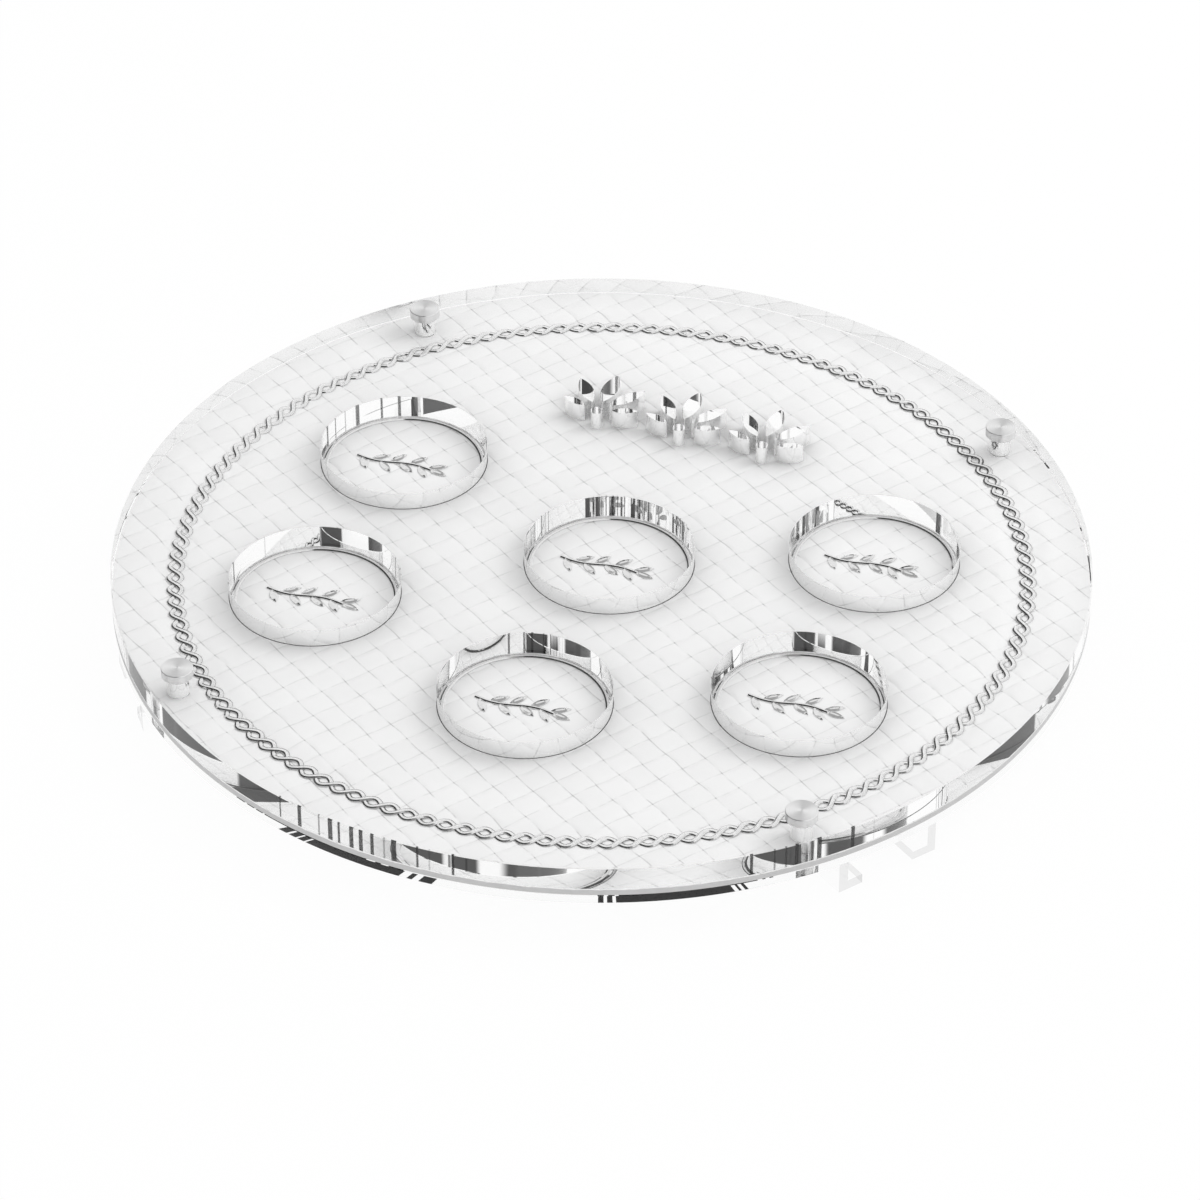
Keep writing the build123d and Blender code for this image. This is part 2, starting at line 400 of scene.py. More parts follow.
# Woven leatherette, one sheet embossed with a plain weave
leather = {
    "cell": 10.52 * mm,            # side of one square of the weave
    "turn": radians(-34.9),        # direction of the stronger lines
    "corner": (33.75 * mm, -29.0 * mm),
    "spareCells": 5,               # beyond the rim, as the weave isn't centred
    "crown": 0.30 * mm,            # rise of a strip over its neighbours
    "crownShape": 0.7,             # below 1 for a broad crown
    "edge": 0.075,                 # share of a cell taken by a strip's rounded edge
    "bow": 0.018,                  # how far a strip's edge swells where it lies on top, in cells
    "airGap": 0.05 * mm,           # between the sheet and the acrylic above
    "rowShares": (0.0, 0.035, 0.085, 0.25, 0.5, 0.75, 0.915, 0.965),
    "rimSteps": 960,
    "holeSteps": 40,
    "meshMargin": 0.35 * mm,       # no points of the weave this close to a cut edge
    "weld": 1e-7,
    "ropeDip": 0.70 * mm,          # the sheet is pressed down under the rope border
    "dipHalfWidth": 3.8 * mm,
    "dipShoulder": 6.0 * mm,
    "colour": grey(0.91),
    "roughness": 0.42,
    "specular": 0.3,
    "grain": (700.0, 0.10, 0.1 * mm),
    # painted shade in the weave's grooves, as lines, and in the pits at the corners, as dots: depths of
    # tone, and sizes in cells
    "strongLine": 0.24,
    "weakLine": 0.13,
    "lineHalfWidth": 0.045,
    "lineDrift": 0.06,
    "driftScale": 0.8,
    "cornerReach": 0.35,
    "cornerShares": (0.6, 0.1),    # strength of a line at the corner and past its reach
    "unevenScale": 2.3,
    "unevenSpan": (0.38, 0.64),
    "dotTone": 0.46,
    "dotRadii": (0.01, 0.075),
    "dotSquash": 2.5,
    "squareTones": (0.988, 1.008),
    "cloudScale": 45.0,
    "cloudTones": (0.985, 1.01),
}


def leatherMaterial():
    material, tree, shader, place = newMaterial("wovenLeatherette")
    cornerX, cornerY = leather["corner"]
    moved = make(tree, "ShaderNodeVectorMath", {0: place, 1: (-cornerX, -cornerY, 0.0)}, operation="ADD")
    swung = make(tree, "ShaderNodeVectorRotate", {"Vector": moved, "Angle": -leather["turn"]},
                 rotation_type="Z_AXIS")
    cells = make(tree, "ShaderNodeVectorMath", {0: swung, "Scale": 1 / leather["cell"]}, operation="SCALE")
    u, v, _ = splitXYZ(cells)
    # strips swell where they lie on top, so each line sways once in two cells, and wanders a little
    wander = outputsOf(tree, "ShaderNodeTexNoise", {
        "Vector": cells, "Scale": leather["driftScale"], "Detail": 2.0})["Color"]
    driftV, driftU, _ = outputsOf(tree, "ShaderNodeSeparateColor", {0: wander}).values()

    def fromLine(position, along, drift):
        nearest = calc("ROUND", position)
        sway = calc("COSINE", nearest * pi) * (calc("SINE", along * pi) * leather["bow"])
        return calc("ABSOLUTE", position - nearest - sway + (drift - 0.5) * leather["lineDrift"])

    toV = fromLine(v, u, driftV)
    toU = fromLine(u, v + 1.0, driftU)
    # the painted groove shade is deepest near the corners and fades unevenly along each strip
    noise = make(tree, "ShaderNodeTexNoise", {"Vector": cells, "Scale": leather["unevenScale"], "Detail": 3.0})
    lineUnevenness = ramp(noise, *leather["unevenSpan"])

    def paintGrooveShade(across, along, depth):
        strength = ramp(along, 0.0, leather["cornerReach"], *leather["cornerShares"]) + lineUnevenness
        return ramp(across, 0.0, leather["lineHalfWidth"], depth, 0.0) * strength

    strong = paintGrooveShade(toV, toU, leather["strongLine"])
    weak = paintGrooveShade(toU, toV, leather["weakLine"])
    # painted shade in the pits where four strips meet
    toCorner = calc("SQRT", toU * toU + toV * toV * leather["dotSquash"])
    dots = ramp(toCorner, *leather["dotRadii"], leather["dotTone"], 0.0)
    grooveShade = calc("MAXIMUM", dots, calc("MAXIMUM", strong, weak))
    # each square has its own tone, within a broader unevenness
    squares = make(tree, "ShaderNodeVectorMath", {0: cells}, operation="FLOOR")
    square = make(tree, "ShaderNodeTexWhiteNoise", {"Vector": squares}, noise_dimensions="2D")
    cloud = make(tree, "ShaderNodeTexNoise", {
        "Vector": place, "Scale": leather["cloudScale"], "Detail": 4.0})
    tone = ramp(square, 0.0, 1.0, *leather["squareTones"]) * ramp(cloud, *noiseSpan, *leather["cloudTones"])
    setInputs(shader, {
        "Base Color": mixColour(1.0, leather["colour"], tone * (1.0 - grooveShade), "MULTIPLY"),
        "Normal": addGrain(place, *leather["grain"])["Normal"], "Roughness": leather["roughness"],
        "Specular IOR Level": leather["specular"]})
    return material


wovenLeatherette = leatherMaterial()


def easeIn(value):
    held = np.clip(value, 0.0, 1.0)
    return held * held * (3 - 2 * held)


def leatherHeight(x, y):
    turn, cell, bow = leather["turn"], leather["cell"], leather["bow"]
    fromX, fromY = x - leather["corner"][0], y - leather["corner"][1]
    u = (fromX * cos(turn) + fromY * sin(turn)) / cell
    v = (fromY * cos(turn) - fromX * sin(turn)) / cell
    swayU = bow * np.cos(pi * np.round(u)) * np.sin(pi * (v + 1))
    swayV = bow * np.cos(pi * np.round(v)) * np.sin(pi * u)
    u, v = u - swayU * (1 - 2 * np.abs(u - np.round(u))), v - swayV * (1 - 2 * np.abs(v - np.round(v)))
    columns, rows = np.floor(u), np.floor(v)
    overU = (columns + rows) % 2 == 0        # which of the two strips lies on top in this cell
    along = np.where(overU, u - columns, v - rows)
    across = np.where(overU, v - rows, u - columns)
    crown = (1 - (2 * along - 1) ** 2) ** leather["crownShape"]
    sides = easeIn(across / leather["edge"]) * easeIn((1 - across) / leather["edge"])
    offRope = np.abs(np.hypot(x, y) - ropeRadius) - leather["dipHalfWidth"]
    dip = leather["ropeDip"] * (1 - easeIn(offRope / leather["dipShoulder"]))
    return leatherTop - leather["airGap"] - leather["crown"] * (1 - crown * sides) - dip


def buildLeather():
    cell, turn, margin = leather["cell"], leather["turn"], leather["meshMargin"]
    reach = int(plateRadius / cell) + leather["spareCells"]
    lines = (np.arange(-reach, reach)[:, None] + np.array(leather["rowShares"])[None, :]).ravel() * cell
    u, v = np.meshgrid(lines, lines)
    x = leather["corner"][0] + u * cos(turn) - v * sin(turn)
    y = leather["corner"][1] + u * sin(turn) + v * cos(turn)
    keep = np.hypot(x, y) < plateRadius - margin
    holes = capCentres.values()
    for hole in holes:
        keep &= np.hypot(x - hole.x, y - hole.y) > shankHole + margin
    flat = [Vector(point) for point in zip(x[keep], y[keep])]
    edges = []
    loops = [circlePoints((0, 0), plateRadius, leather["rimSteps"])]
    loops += [circlePoints(hole, shankHole, leather["holeSteps"]) for hole in holes]
    for loop in loops:
        first, count = len(flat), len(loop)
        flat += [Vector(point) for point in loop]
        edges += [(first + step, first + (step + 1) % count) for step in range(count)]
    points, _, triangles, *_ = delaunay_2d_cdt(flat, edges, [], 1, leather["weld"])
    places = np.array([tuple(point) for point in points])
    heights = leatherHeight(places[:, 0], places[:, 1])
    bm = bmesh.new()
    top = [bm.verts.new((px, py, pz)) for (px, py), pz in zip(places, heights)]
    for triangle in triangles:
        middle = places[list(triangle)].mean(axis=0)
        if all(hypot(middle[0] - hole.x, middle[1] - hole.y) >= shankHole for hole in holes):
            bm.faces.new([top[index] for index in triangle]).smooth = True
    # the cut edge, down to the board, grey with painted shade
    rims = [edge.link_loops[0] for edge in bm.edges if edge.is_boundary]
    below = {loop.vert: bm.verts.new((*loop.vert.co.xy, boardTop)) for loop in rims}
    for loop in rims:
        near, far = loop.link_loop_next.vert, loop.vert
        wall = bm.faces.new((near, far, below[far], below[near]))
        wall.smooth = True
        wall.material_index = 1
        loop.edge.smooth = False
    floorEdges = [edge for edge in bm.edges if edge.is_boundary]
    for edge in floorEdges:
        edge.smooth = False
    bmesh.ops.triangle_fill(bm, edges=floorEdges, use_beauty=False, normal=(0, 0, -1))
    bmesh.ops.recalc_face_normals(bm, faces=bm.faces)
    piece = meshFrom("leatherSheet", bm, wovenLeatherette, paintedShadeEdge)
    settle(piece, "root", "white_leatherette", "leather_panel")


buildLeather()

# Stiff sheets with holes: the top plate, the base plate and the board
sheets = {
    "rimBevel": 0.4 * mm,
    "wellBevel": 0.25 * mm,
    "rimSteps": 1080,
    "wellSteps": 240,
    "holeSteps": 64,
    "film": 0.02 * mm,             # air between the base plate and the board
    "wellWallGap": 0.8 * mm,       # from a well's ring to its wall
    "fanCount": 3,
    "fanPitch": 35.0 * mm,
    "fanMiddle": 1.0 * mm,
    "fanRoot": 88.5 * mm,
    "fanHole": 2.5 * mm,
    "fanGap": 6.0 * mm,
    "fanStep": radians(36.0),
    "fanLeaves": (20.0 * mm, 17.5 * mm, 10.5 * mm),
    "leafRatio": 0.33,
    "leafSteps": 28,
}


# Each cut is a list of rings from the bottom up: (level, [(x, y), ...]). The materials are for faces, walls,
# openings and a painted contact shadow, a dark line round the foot of each bevelled opening
def buildSheet(name, cuts, materials, firstOpen=None):
    wallSlot, openSlot, shadowLineSlot = 1, 2, 3
    bm = bmesh.new()
    bottoms, tops = [], []
    for number, rings in enumerate(cuts):
        rows = [[bm.verts.new((x, y, level)) for x, y in points] for level, points in rings]
        opening = firstOpen and number >= firstOpen
        bevelled = len(rows) > 2
        for band, pair in enumerate(zip(rows, rows[1:])):
            # the lowest band of a bevelled opening takes the painted contact shadow
            shadowLined = bevelled and band == 0
            for wall in skin(bm, pair):
                wall.smooth = True
                wall.material_index = wallSlot if not opening else shadowLineSlot if shadowLined else openSlot
        for row in rows:
            for edge in rowEdges(bm, row):
                edge.smooth = False
        bottoms += rowEdges(bm, rows[0])
        tops += rowEdges(bm, rows[-1])
    for edges in (bottoms, tops):
        bmesh.ops.triangle_fill(bm, edges=edges, use_beauty=True, normal=(0, 0, 1))
    bmesh.ops.recalc_face_normals(bm, faces=bm.faces)
    return meshFrom(name, bm, *materials)


def bevelledCut(centre, radius, bottom, top, bevel, count, outward):
    # the bevel narrows a disc's faces and widens a hole's mouths
    faceRadius = radius - bevel if outward else radius + bevel
    mouth = circlePoints(centre, faceRadius, count)
    wall = circlePoints(centre, radius, count)
    return [(bottom, mouth), (bottom + bevel, wall), (top - bevel, wall), (top, mouth)]


def rimCut(bottom, top):
    return bevelledCut((0, 0), plateRadius, bottom, top, sheets["rimBevel"], sheets["rimSteps"], True)


def straightCut(outline, bottom, top):
    return [(bottom, outline), (top, outline)]


def roundHole(centre, radius, bottom, top):
    return straightCut(circlePoints(centre, radius, sheets["holeSteps"]), bottom, top)


def shankHoles(bottom, top):
    return [roundHole(centre, shankHole, bottom, top) for centre in capCentres.values()]


def leafOutline(root, angle, length, width):
    # two equal arcs from point to point
    sagitta = width / 2
    radius = (length * length / 4 + sagitta * sagitta) / (2 * sagitta)
    half = atan2(length / 2, radius - sagitta)
    outline = []
    for side in (-1, 1):
        for step in range(sheets["leafSteps"]):
            swing = half * (2 * step / sheets["leafSteps"] - 1)
            along = length / 2 + radius * sin(swing) * -side
            aside = (radius * cos(swing) - (radius - sagitta)) * side
            outline.append((along, aside))
    return [(root[0] + along * cos(angle) - aside * sin(angle),
             root[1] + along * sin(angle) + aside * cos(angle)) for along, aside in outline]


def fanCuts(root, bottom, top):
    # leaves stand in a fan over a small round hole, the longest in the middle
    cuts = [roundHole(root, sheets["fanHole"], bottom, top)]
    for step, length in enumerate(sheets["fanLeaves"]):
        for side in sorted({-step, step}):
            angle = pi / 2 + side * sheets["fanStep"]
            start = (root[0] + sheets["fanGap"] * cos(angle), root[1] + sheets["fanGap"] * sin(angle))
            outline = leafOutline(start, angle, length, length * sheets["leafRatio"])
            cuts.append(straightCut(outline, bottom, top))
    return cuts


def buildTopPlate():
    bottom, top = leatherTop, topFace
    wellRadius, bevel, steps = ringOuter + sheets["wellWallGap"], sheets["wellBevel"], sheets["wellSteps"]
    cuts = [rimCut(bottom, top), *shankHoles(bottom, top)]
    firstOpen = len(cuts)
    cuts += [bevelledCut(centre, wellRadius, bottom, top, bevel, steps, False) for centre in wellCentres]
    for fan in range(sheets["fanCount"]):
        rootX = sheets["fanMiddle"] + (fan - (sheets["fanCount"] - 1) / 2) * sheets["fanPitch"]
        cuts += fanCuts((rootX, sheets["fanRoot"]), bottom, top)
    piece = buildSheet("topPlate", cuts, (acrylicFace, acrylicRim, acrylicWell, paintedContactShadow), firstOpen)
    settle(piece, "root", "clear_acrylic", "top_plate")


def buildBasePlate():
    top = baseTop - sheets["film"]
    cuts = [rimCut(baseBottom, top), *shankHoles(baseBottom, top)]
    piece = buildSheet("basePlate", cuts, (acrylicBase, acrylicBaseWall))
    settle(piece, "root", "clear_acrylic", "base_plate")


def buildBoard():
    rim = circlePoints((0, 0), plateRadius, sheets["rimSteps"])
    cuts = [straightCut(rim, baseTop, boardTop), *shankHoles(baseTop, boardTop)]
    # the board's upright edges take the painted edge shade
    piece = buildSheet("backingBoard", cuts, (whiteBoard, paintedShadeEdge))
    settle(piece, "root", "white_board", "backing_board")


buildTopPlate()
buildBasePlate()
buildBoard()

# Silver trim is grown by Geometry Nodes
trim = {
    "crispAngle": radians(24.0),   # edges sharper than this stay crisp
    "bevelSlope": 0.5,             # fall of an edge for each step across
    "flatFacing": 0.985,           # faces that look up less than this are edges
    "weld": 0.001 * mm,
}
socketKinds = {float: "Float", int: "Int", bpy.types.Material: "Material", bpy.types.Object: "Object"}


def newTree(name, values):
    # a tree with an input for each value of the piece's dictionary
    tree = bpy.data.node_groups.new(name, "GeometryNodeTree")
    for way in ("INPUT", "OUTPUT"):
        tree.interface.new_socket("Geometry", in_out=way, socket_type="NodeSocketGeometry")
    for label, value in values.items():
        kind = "NodeSocket" + socketKinds[type(value)]
        tree.interface.new_socket(label, in_out="INPUT", socket_type=kind)
    return tree, outputsOf(tree, "NodeGroupInput")


def setMaterials(tree, start, geometry, edges):
    whole = make(tree, "GeometryNodeSetMaterial", {"Geometry": geometry, "Material": start["Finish"]})
    edged = make(tree, "GeometryNodeSetMaterial", {
        "Geometry": whole, "Selection": edges, "Material": start["Edge Finish"]})
    addNode(tree, "NodeGroupOutput", {"Geometry": edged})


def endTree(tree, start, geometry):
    real = make(tree, "GeometryNodeRealizeInstances", {"Geometry": geometry})
    smooth = make(tree, "GeometryNodeSetShadeSmooth", {"Geometry": real})
    bend = make(tree, "GeometryNodeInputMeshEdgeAngle")
    crisp = make(tree, "GeometryNodeSetShadeSmooth", {
        "Geometry": smooth, "Selection": calc("GREATER_THAN", bend, trim["crispAngle"]),
        "Shade Smooth": False}, domain="EDGE")
    upward = splitXYZ(make(tree, "GeometryNodeInputNormal"))[2]
    setMaterials(tree, start, crisp, calc("LESS_THAN", upward, trim["flatFacing"]))


def growPiece(name, tree, points, values):
    seeds = bpy.data.meshes.new(name)
    seeds.from_pydata([tuple(point) for point in points], [], [])
    piece = addObject(name, seeds)
    modifier = piece.modifiers.new("grow", "NODES")
    modifier.node_group = tree
    for item in tree.interface.items_tree:
        if item.in_out == "INPUT" and item.name in values:
            modifier[item.identifier] = values[item.name]
    graph = bpy.context.evaluated_depsgraph_get()
    grown = bpy.data.meshes.new_from_object(piece.evaluated_get(graph))
    piece.modifiers.remove(modifier)
    piece.data = grown
    # empty material slots are dropped
    slots = list(grown.materials)
    used = [slot for slot in slots if slot]
    indices = [used.index(slots[face.material_index]) for face in grown.polygons]
    grown.materials.clear()
    for slot in used:
        grown.materials.append(slot)
    grown.polygons.foreach_set("material_index", indices)
    return piece


def bevelledBar(tree, width, height, bevel):
    # a flat bar with all four edges cut back, more across than down
    shape = make(tree, "GeometryNodeCurvePrimitiveQuadrilateral", {
        "Width": width, "Height": height / trim["bevelSlope"]}, mode="RECTANGLE")
    cut = make(tree, "GeometryNodeFilletCurve", {"Curve": shape, "Radius": bevel, "Count": 1}, mode="POLY")
    return make(tree, "GeometryNodeTransform", {"Geometry": cut, "Scale": (1.0, trim["bevelSlope"], 1.0)})


def sweep(tree, curve, profile):
    level = make(tree, "GeometryNodeSetCurveNormal", {"Curve": curve}, mode="Z_UP")
    return make(tree, "GeometryNodeCurveToMesh", {
        "Curve": level, "Profile Curve": profile, "Fill Caps": True})


def moveTo(tree, geometry, place):
    return make(tree, "GeometryNodeSetPosition", {"Geometry": geometry, "Position": place})


def joinAll(tree, *shapes):
    joined = addNode(tree, "GeometryNodeJoinGeometry")
    for shape in shapes:
        setInputs(joined, {0: shape})
    return NodeValue(joined.outputs[0])


# Rope border: two flattened strands twisted round each other along a circle
rope = {
    "Radius": ropeRadius,
    "Waves": 69,
    "Steps": 20,                   # points in one wave of a strand
    "Sway": 2.4 * mm,
    "Lift": 0.20 * mm,
    "Level": leatherTop - 0.53 * mm,
    "Start": radians(103.8),
    "Strand Width": 2.15 * mm,
    "Strand Height": 0.56 * mm,
    "Bevel": 0.65 * mm,
    **silverFinish,
}


def buildRope():
    tree, start = newTree("twistedRope", rope)
    count = start["Waves"] * start["Steps"]
    circle = make(tree, "GeometryNodeCurvePrimitiveCircle", {"Resolution": count})
    angle = make(tree, "GeometryNodeInputIndex") * tau / count
    profile = bevelledBar(tree, start["Strand Width"], start["Strand Height"], start["Bevel"])
    strands = []
    for lag in (0.0, pi):
        phase = angle * start["Waves"] + (start["Start"] + lag)
        radius = start["Radius"] + start["Sway"] * calc("COSINE", phase)
        level = start["Level"] + start["Lift"] * calc("SINE", phase)
        place = joinXYZ(radius * calc("COSINE", angle), radius * calc("SINE", angle), level)
        strands.append(sweep(tree, moveTo(tree, circle, place), profile))
    endTree(tree, start, joinAll(tree, *strands))
    piece = growPiece("ropeBorder", tree, [(0, 0, 0)], rope)
    settle(piece, "root", "silver_trim", "rope_border")


buildRope()

# Silver ring on the floor of each well
ring = {
    "Radius": ringOuter - 1.0 * mm,
    "Steps": 192,
    "Ring Width": 2.0 * mm,
    "Ring Height": 0.85 * mm,      # its foot is pressed into the weave
    "Bevel": 0.55 * mm,
    **silverFinish,
}


def seatPoints(height):
    return [(centre.x, centre.y, trimTop - height / 2) for centre in wellCentres]


def buildRings():
    tree, start = newTree("wellRing", ring)
    circle = make(tree, "GeometryNodeCurvePrimitiveCircle", {
        "Resolution": start["Steps"], "Radius": start["Radius"]})
    profile = bevelledBar(tree, start["Ring Width"], start["Ring Height"], start["Bevel"])
    rings = make(tree, "GeometryNodeInstanceOnPoints", {
        "Points": start["Geometry"], "Instance": sweep(tree, circle, profile)})
    endTree(tree, start, rings)
    piece = growPiece("wellRings", tree, seatPoints(ring["Ring Height"]), ring)
    settle(piece, "root", "silver_trim", *[f"well_ring_{well}" for well in wells])


buildRings()

# Leaf sprig inside each ring: a swaying stem with ridged leaves on alternate sides
sprig = {
    "Length": 40.0 * mm,
    "Leaves": 8,
    "Leaf Length": 8.5 * mm,
    "Leaf Width": 3.0 * mm,
    "Leaf Angle": radians(44.0),
    "Leaf Steps": 17,
    "Leaf Rows": 5,
    "Eave": 0.66,                  # height of a leaf's edge, as a share of its ridge
    "Stem Width": 1.5 * mm,
    "Stem Sway": 1.2 * mm,
    "Stem Steps": 49,
    "Last Seat": 0.96,             # share of the stem where its end leaf starts
    "Height": 0.85 * mm,
    "Bevel": 0.55 * mm,
    **silverFinish,
}


def growLeaf(tree, start):
    # one leaf from the origin along +X: a pointed outline, raised to a low roof with a ridge
    grid = make(tree, "GeometryNodeMeshGrid", {
        "Size X": 1.0, "Size Y": 1.0, "Vertices X": start["Leaf Steps"], "Vertices Y": start["Leaf Rows"]})
    x, y, _ = splitXYZ(make(tree, "GeometryNodeInputPosition"))
    share = x + 0.5
    bulge = share * (1.0 - share) * 4.0
    ridge = 1.0 - calc("ABSOLUTE", y) * 2.0
    rise = start["Height"] * (start["Eave"] + (1.0 - start["Eave"]) * (ridge * calc("SQRT", bulge)))
    kept = make(tree, "GeometryNodeStoreNamedAttribute", {"Geometry": grid, "Name": "rise", "Value": rise},
                data_type="FLOAT", domain="POINT")
    place = joinXYZ(share * start["Leaf Length"], y * start["Leaf Width"] * bulge, start["Height"] * -0.5)
    sole = moveTo(tree, kept, place)
    raised = outputsOf(tree, "GeometryNodeExtrudeMesh", {
        "Mesh": sole, "Offset": (0.0, 0.0, 1.0), "Offset Scale": 0.0, "Individual": False}, mode="FACES")
    lift = make(tree, "GeometryNodeInputNamedAttribute", {"Name": "rise"}, data_type="FLOAT")
    roof = make(tree, "GeometryNodeSetPosition", {
        "Geometry": raised["Mesh"], "Selection": raised["Top"], "Offset": joinXYZ(0.0, 0.0, lift)})
    under = make(tree, "GeometryNodeFlipFaces", {"Mesh": sole})
    return make(tree, "GeometryNodeMergeByDistance", {
        "Geometry": joinAll(tree, under, roof), "Distance": trim["weld"]})


def growStem(tree, start):
    line = make(tree, "GeometryNodeCurvePrimitiveLine")
    fine = make(tree, "GeometryNodeResampleCurve", {
        "Curve": line, "Count": start["Stem Steps"]}, mode="COUNT")
    along = make(tree, "GeometryNodeSplineParameter")
    stemX = along * (start["Length"] - start["Leaf Length"]) - start["Length"] * 0.5
    stemY = start["Stem Sway"] * calc("SINE", along * tau) * -1.0
    return moveTo(tree, fine, joinXYZ(stemX, stemY, 0.0))


def buildSprigs():
    tree, start = newTree("leafSprig", sprig)
    leaf, stem = growLeaf(tree, start), growStem(tree, start)
    profile = bevelledBar(tree, start["Stem Width"], start["Height"], start["Bevel"])
    # leaves at even shares of the stem, left and right in turn, and one at its end
    seats = make(tree, "GeometryNodePoints", {"Count": start["Leaves"] + 1})
    number = make(tree, "GeometryNodeInputIndex")
    stop = calc("MINIMUM", (number + 0.5) / start["Leaves"], start["Last Seat"])
    sample = outputsOf(tree, "GeometryNodeSampleCurve", {"Curves": stem, "Factor": stop}, mode="FACTOR")
    heading = make(tree, "FunctionNodeAlignRotationToVector", {"Vector": sample["Tangent"]}, axis="X")
    sideways = calc("MODULO", number, 2.0) * 2.0 - 1.0
    isLast = calc("COMPARE", number, start["Leaves"], 0.1)
    swing = sideways * start["Leaf Angle"] * (1.0 - isLast)
    turn = make(tree, "FunctionNodeAxisAngleToRotation", {"Axis": (0.0, 0.0, 1.0), "Angle": swing})
    facing = make(tree, "FunctionNodeRotateRotation", {"Rotation": heading, "Rotate By": turn},
                  rotation_space="LOCAL")
    leaves = make(tree, "GeometryNodeInstanceOnPoints", {
        "Points": moveTo(tree, seats, sample["Position"]), "Instance": leaf, "Rotation": facing})
    whole = joinAll(tree, sweep(tree, stem, profile), leaves)
    sprigs = make(tree, "GeometryNodeInstanceOnPoints", {"Points": start["Geometry"], "Instance": whole})
    endTree(tree, start, sprigs)
    piece = growPiece("wellSprigs", tree, seatPoints(sprig["Height"]), sprig)
    settle(piece, "root", "silver_trim", *[f"well_sprig_{well}" for well in wells])


buildSprigs()


# Turned pieces: a profile of (radius, level) spun round a centre, with a map of turn and length along it
def lathe(name, centre, profile, steps, material, closed=False):
    bm = bmesh.new()
    layer = bm.loops.layers.uv.new("turning")
    rows, lengths = [], [0.0]
    for (radius, level), (nextRadius, nextLevel) in zip(profile, profile[1:] + profile[:1]):
        if radius == 0.0:
            rows.append([bm.verts.new((centre.x, centre.y, level))] * steps)
        else:
            rows.append(polarRow(bm, centre, [(radius, level)] * steps))
        lengths.append(lengths[-1] + hypot(nextRadius - radius, nextLevel - level))
    for lower in range(len(rows) if closed else len(rows) - 1):
        upper = lower + 1
        for step in range(steps):
            spots = {}             # a pole's vertex counts once
            for row, turn in ((lower, step), (lower, step + 1), (upper, step + 1), (upper, step)):
                spots.setdefault(rows[row % len(rows)][turn % steps], (turn / steps, lengths[row]))
            face = bm.faces.new(list(spots))
            face.smooth = True
            for loop in face.loops:
                loop[layer].uv = spots[loop.vert]
    for row in rows:
        if row[0] is not row[1]:
            for edge in rowEdges(bm, row):
                edge.smooth = False
    bmesh.ops.recalc_face_normals(bm, faces=bm.faces)
    return meshFrom(name, bm, material)


standoff = {
    "capBevel": 0.15 * mm,
    "capFoot": 0.15 * mm,
    "dimple": 0.35 * mm,
    "dimpleDepth": 0.0875 * mm,
    "capSteps": 96,
    "shankRadius": 4.0 * mm,
    "shankSteps": 64,
    "threadRadius": 2.5 * mm,
    "threadPitch": 0.8 * mm,
    "threadDepth": 0.35 * mm,
    "threadSteps": 32,
    "rowsPerPitch": 8,
    "nutBore": 2.55 * mm,
    "nutFlat": 4.0 * mm,
    "nutFaceInset": 0.175 * mm,    # from the flats to the round end faces
    "nutDrop": 0.105 * mm,         # of the chamfer at the flats, and more towards the corners
    "nutSlope": 0.6,
    "nutSteps": 72,
    "washerEase": 0.1 * mm,
}


def buildCap(corner):
    low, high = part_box(f"standoff_cap_{corner}")
    radius, seat, top = (high.x - low.x) / 2, low.z, high.z
    bevel, foot = standoff["capBevel"], standoff["capFoot"]
    profile = [(0.0, seat), (radius - foot, seat), (radius, seat + foot), (radius, top - bevel),
               (radius - bevel, top), (standoff["dimple"], top), (0.0, top - standoff["dimpleDepth"])]
    piece = lathe(f"standoffCap_{corner}", capCentres[corner], profile, standoff["capSteps"], turnedMetal)
    settle(piece, f"cap_{corner}", "brushed_metal", f"standoff_cap_{corner}")


def buildStud(corner):
    centre = capCentres[corner]
    low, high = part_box(f"standoff_stud_{corner}")
    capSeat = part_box(f"standoff_cap_{corner}")[0].z
    shank, thread = standoff["shankRadius"], standoff["threadRadius"]
    profile = [(0.0, high.z), (thread, high.z), (thread, capSeat), (shank, capSeat), (shank, baseBottom),
               (0.0, baseBottom)]
    piece = lathe(f"standoffStud_{corner}", centre, profile, standoff["shankSteps"], turnedMetal)
    # the threaded tail, a ridge that climbs one pitch a turn
    bm = bmesh.new()
    bm.from_mesh(piece.data)
    steps, pitch = standoff["threadSteps"], standoff["threadPitch"]
    rise = pitch / standoff["rowsPerPitch"]
    start = baseBottom + rise / 2                # its root is inside the shank
    rows = []
    for row in range(int((start - low.z) / rise) + 1):
        level = start - row * rise
        phases = [(level / pitch - step / steps) % 1.0 for step in range(steps)]
        spots = [(thread - standoff["threadDepth"] * abs(2 * phase - 1), level) for phase in phases]
        rows.append(polarRow(bm, centre, spots))
    for face in skin(bm, rows):
        face.smooth = True
    bm.faces.new(rows[0])
    bm.faces.new(rows[-1])
    bmesh.ops.recalc_face_normals(bm, faces=bm.faces)
    bm.to_mesh(piece.data)
    bm.free()
    settle(piece, f"cap_{corner}", "brushed_metal", f"standoff_stud_{corner}")


